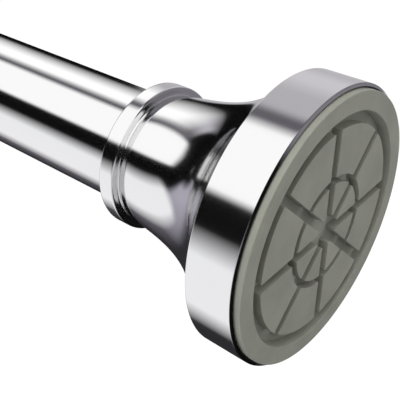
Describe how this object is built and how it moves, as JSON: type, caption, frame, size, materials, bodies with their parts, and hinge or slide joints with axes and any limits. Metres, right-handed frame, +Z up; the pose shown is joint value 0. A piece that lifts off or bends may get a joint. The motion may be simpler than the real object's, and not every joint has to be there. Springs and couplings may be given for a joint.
{
  "type": "spring tension rod",
  "caption": "Telescoping chrome tension rod with flared ends and tread-patterned rubber wall pads, twist locked and spring loaded between two walls.",
  "frame": {"origin": "centre of the wall face of the rubber pad on the larger tube's end", "axes": "+X along the rod's axis, out of that pad into the wall; +Z up; the rod runs towards -X"},
  "size_m": [0.475, 0.0564, 0.0564],
  "materials": {
    "chromed_tube": "polished",
    "plated_cover": "polished",
    "grey_rubber": "matte",
    "black_moulding": "satin",
    "grey_trim": "satin",
    "white_nylon": "satin",
    "zinc_steel": "satin"
  },
  "bodies": {
    "outer": {"outer_tube": "chromed_tube", "mouth_bush": "grey_trim", "end_cap_a": "plated_cover", "wall_pad_a": "grey_rubber", "end_base_a": "black_moulding", "tube_plug_a": "black_moulding", "base_screw_a": "zinc_steel"},
    "collet": {"expander": "white_nylon"},
    "cone": {"wedge_nut": "white_nylon"},
    "shaft": {"lock_shaft": "zinc_steel", "thrust_washer": "zinc_steel", "retaining_clips": "zinc_steel", "spring_seat": "zinc_steel"},
    "inner": {"inner_tube": "chromed_tube", "guide_plug": "white_nylon", "spring_stop": "white_nylon", "tension_spring": "zinc_steel", "reducer_sleeve": "grey_trim", "end_cap_b": "plated_cover", "wall_pad_b": "grey_rubber", "end_base_b": "black_moulding", "tube_plug_b": "black_moulding", "base_screw_b": "zinc_steel"}
  },
  "joints": [
    {"name": "telescope", "type": "slide", "parent": "outer", "child": "collet", "axis": [-1, 0, 0], "range_m": [-0.04, 0.145]},
    {"name": "twist_lock", "type": "hinge", "parent": "collet", "child": "shaft", "pos_m": [-0.107, 0, 0], "axis": [1, 0, 0], "range_deg": [0, 270]},
    {"name": "wedge_draw", "type": "slide", "parent": "collet", "child": "cone", "axis": [-1, 0, 0], "range_m": [0, 0.00151]},
    {"name": "spring_travel", "type": "slide", "parent": "shaft", "child": "inner", "axis": [1, 0, 0], "range_m": [0, 0.025], "stiffness_N_per_m": 4800, "springref_m": -0.004, "deforming": ["tension_spring"]}
  ],
  "couplings": [
    {"joint": "wedge_draw", "follows": "twist_lock", "m_per_rad": 0.00031831}
  ]
}
